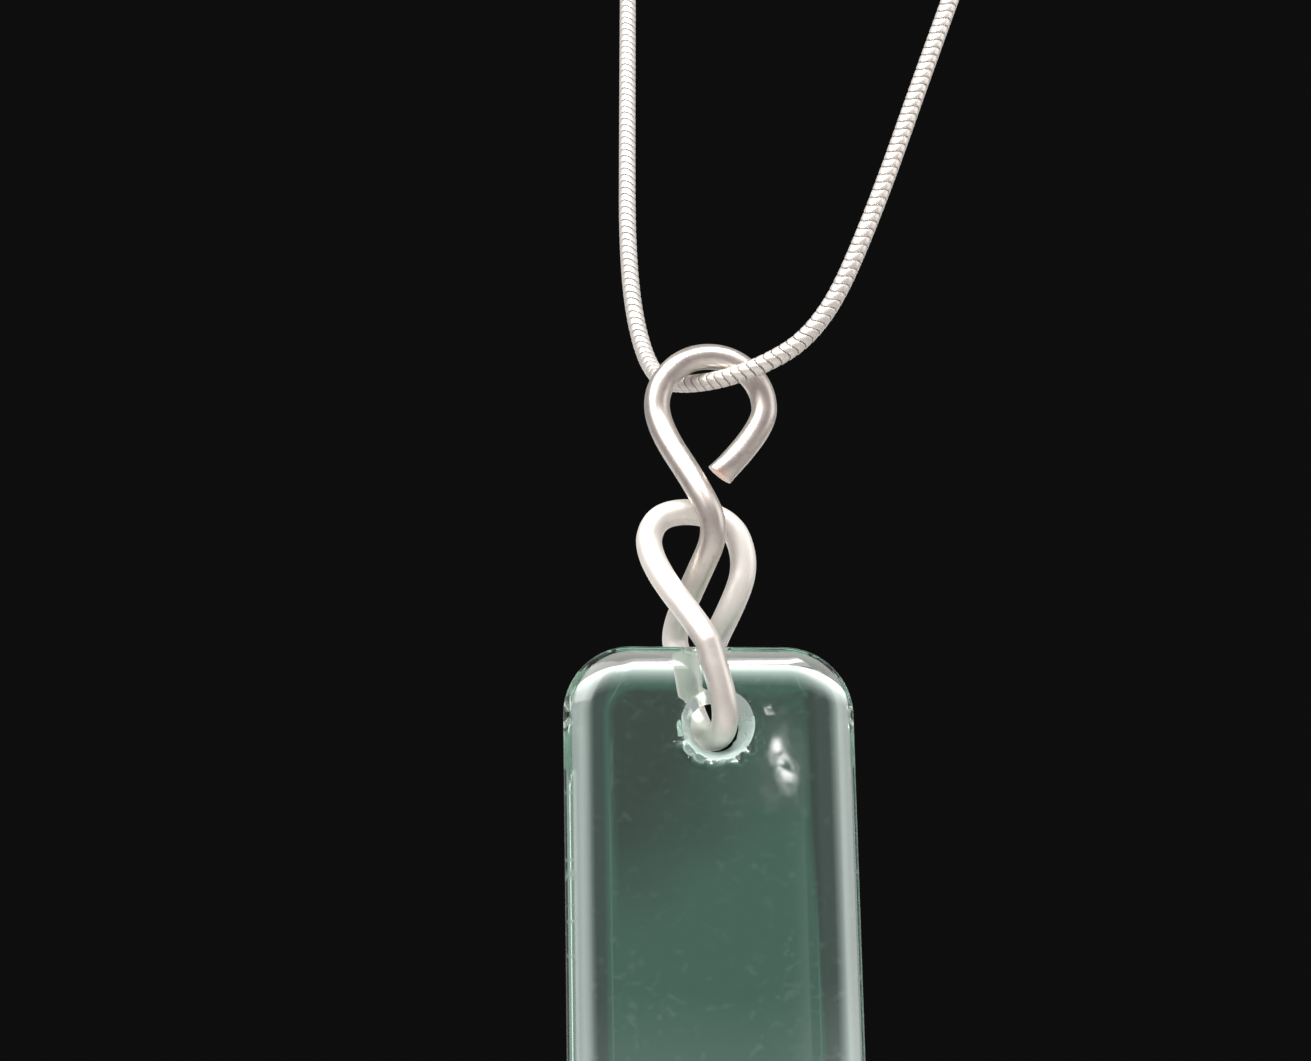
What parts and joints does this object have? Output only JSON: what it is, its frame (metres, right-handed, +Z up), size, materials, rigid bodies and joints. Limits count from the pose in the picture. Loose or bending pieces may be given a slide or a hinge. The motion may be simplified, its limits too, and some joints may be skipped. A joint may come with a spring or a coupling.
{
  "type": "glass bar pendant on a snake chain necklace",
  "caption": "Clear green glass bar pendant with rounded corners, hung by a bent round silver wire bail from a round snake chain closed by a plain barrel clasp.",
  "frame": {"origin": "middle of the clasp at the nape, where the neck carries the necklace", "axes": "+X to the right of someone who looks at the pendant, +Y back through the neck, +Z up"},
  "size_m": [0.1054, 0.131, 0.2218],
  "materials": {
    "glass": "clear bottle-green glass, polished broad faces, fire-rounded rim, frosted hole wall",
    "bail_wire": "silver-plated copper wire, softly polished with fine handling scratches",
    "chain_links": "polished silver round snake chain",
    "clasp_metal": "polished silver"
  },
  "bodies": {
    "necklace": {"snake_chain": "chain_links", "clasp": "clasp_metal"},
    "bail": {"wire_bail": "bail_wire"},
    "bar": {"glass_bar": "glass"}
  },
  "joints": [
    {"name": "pendant_swing", "type": "hinge", "parent": "necklace", "child": "bail", "pos_m": [0, -0.122, -0.151], "axis": [1, 0, 0], "range_deg": [-75, 75]},
    {"name": "bar_swing", "type": "hinge", "parent": "bail", "child": "bar", "pos_m": [0, -0.122, -0.17575], "axis": [-0.6691, 0.7431, 0], "range_deg": [-20, 20]}
  ]
}
